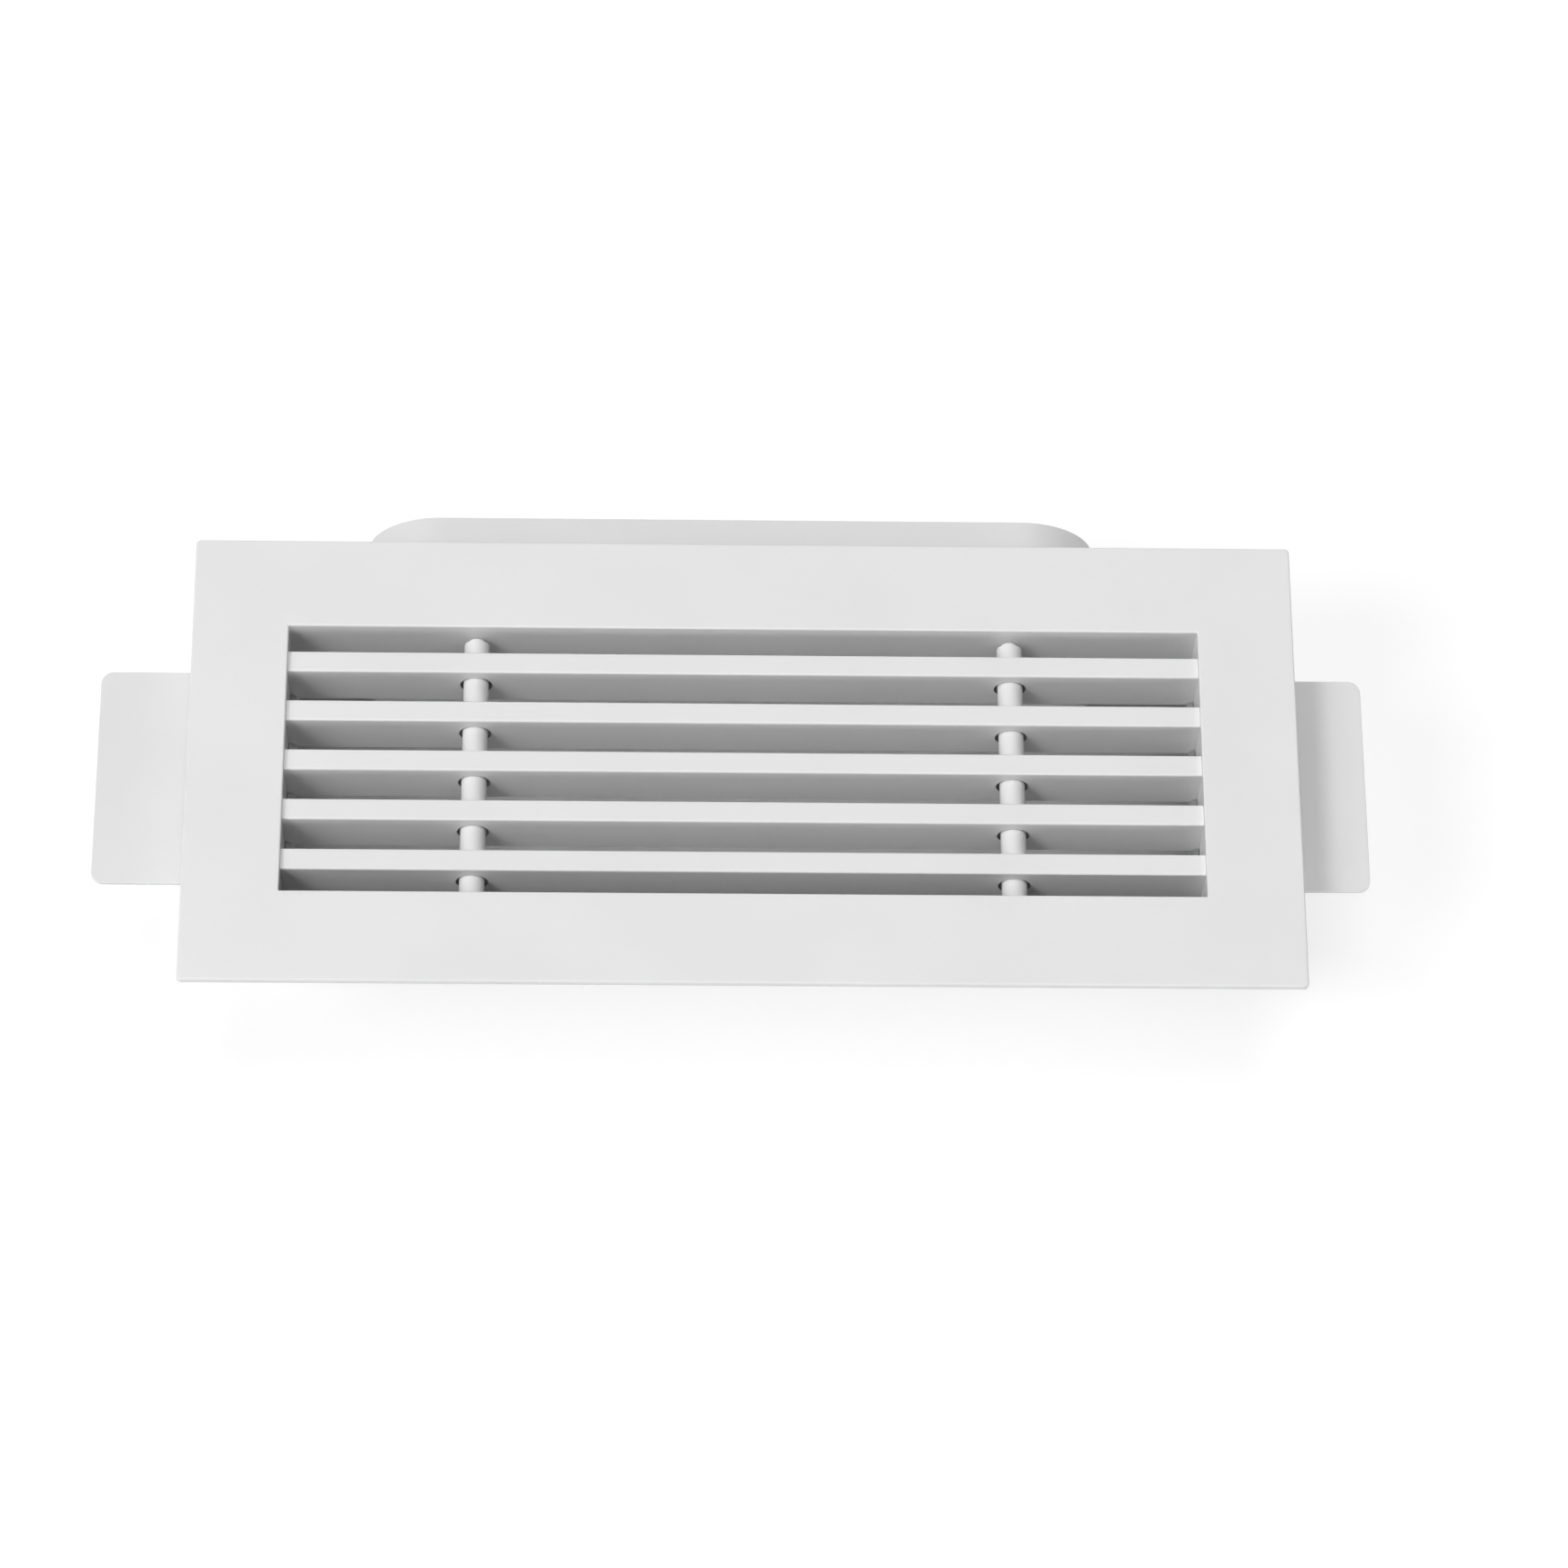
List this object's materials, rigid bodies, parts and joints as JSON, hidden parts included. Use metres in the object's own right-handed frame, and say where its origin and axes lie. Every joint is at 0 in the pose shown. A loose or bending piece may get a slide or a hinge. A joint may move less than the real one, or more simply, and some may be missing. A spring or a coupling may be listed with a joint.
{
  "type": "linear bar grille",
  "caption": "White linear bar grille with a flat flange and fixed bars on cross rods, on a sheet metal duct box with fixing ears and a flat oval spigot.",
  "frame": {"origin": "on the duct box's flat back, on the centre lines of the box and of the bars; the grille's own centre line lies 3.4 mm towards +X", "axes": "+X along the bars, +Y towards the duct spigot, +Z out of the face, into the room"},
  "size_m": [0.4024, 0.1753, 0.084],
  "materials": {
    "frame_paint": "satin powder coat",
    "bar_paint": "satin powder coat",
    "rod_paint": "satin powder coat",
    "sheet_paint": "satin paint",
    "comb_metal": "mill",
    "rivet_metal": "satin",
    "screw_metal": "zinc plated",
    "clip_steel": "spring steel",
    "gasket_rubber": "matt",
    "seal_rubber": "matt"
  },
  "bodies": {
    "root": {"frame": "frame_paint", "bar_1": "bar_paint", "bar_2": "bar_paint", "bar_3": "bar_paint", "bar_4": "bar_paint", "bar_5": "bar_paint", "cross_rod_left": "rod_paint", "cross_rod_right": "rod_paint", "rod_screw_1": "screw_metal", "rod_screw_2": "screw_metal", "rod_screw_3": "screw_metal", "rod_screw_4": "screw_metal", "end_comb_left": "comb_metal", "end_comb_right": "comb_metal", "comb_rivet_1": "rivet_metal", "comb_rivet_2": "rivet_metal", "comb_rivet_3": "rivet_metal", "comb_rivet_4": "rivet_metal", "spring_clip_1": "clip_steel", "spring_clip_2": "clip_steel", "spring_clip_3": "clip_steel", "spring_clip_4": "clip_steel", "clip_rivet_1": "rivet_metal", "clip_rivet_2": "rivet_metal", "clip_rivet_3": "rivet_metal", "clip_rivet_4": "rivet_metal", "flange_gasket": "gasket_rubber", "plenum_box": "sheet_paint", "ear_bracket_left": "sheet_paint", "ear_bracket_right": "sheet_paint", "bracket_rivet_1": "rivet_metal", "bracket_rivet_2": "rivet_metal", "bracket_rivet_3": "rivet_metal", "bracket_rivet_4": "rivet_metal", "duct_spigot": "sheet_paint", "spigot_rivet_1": "rivet_metal", "spigot_rivet_2": "rivet_metal", "spigot_rivet_3": "rivet_metal", "spigot_rivet_4": "rivet_metal", "duct_seal": "seal_rubber"}
  },
  "joints": []
}
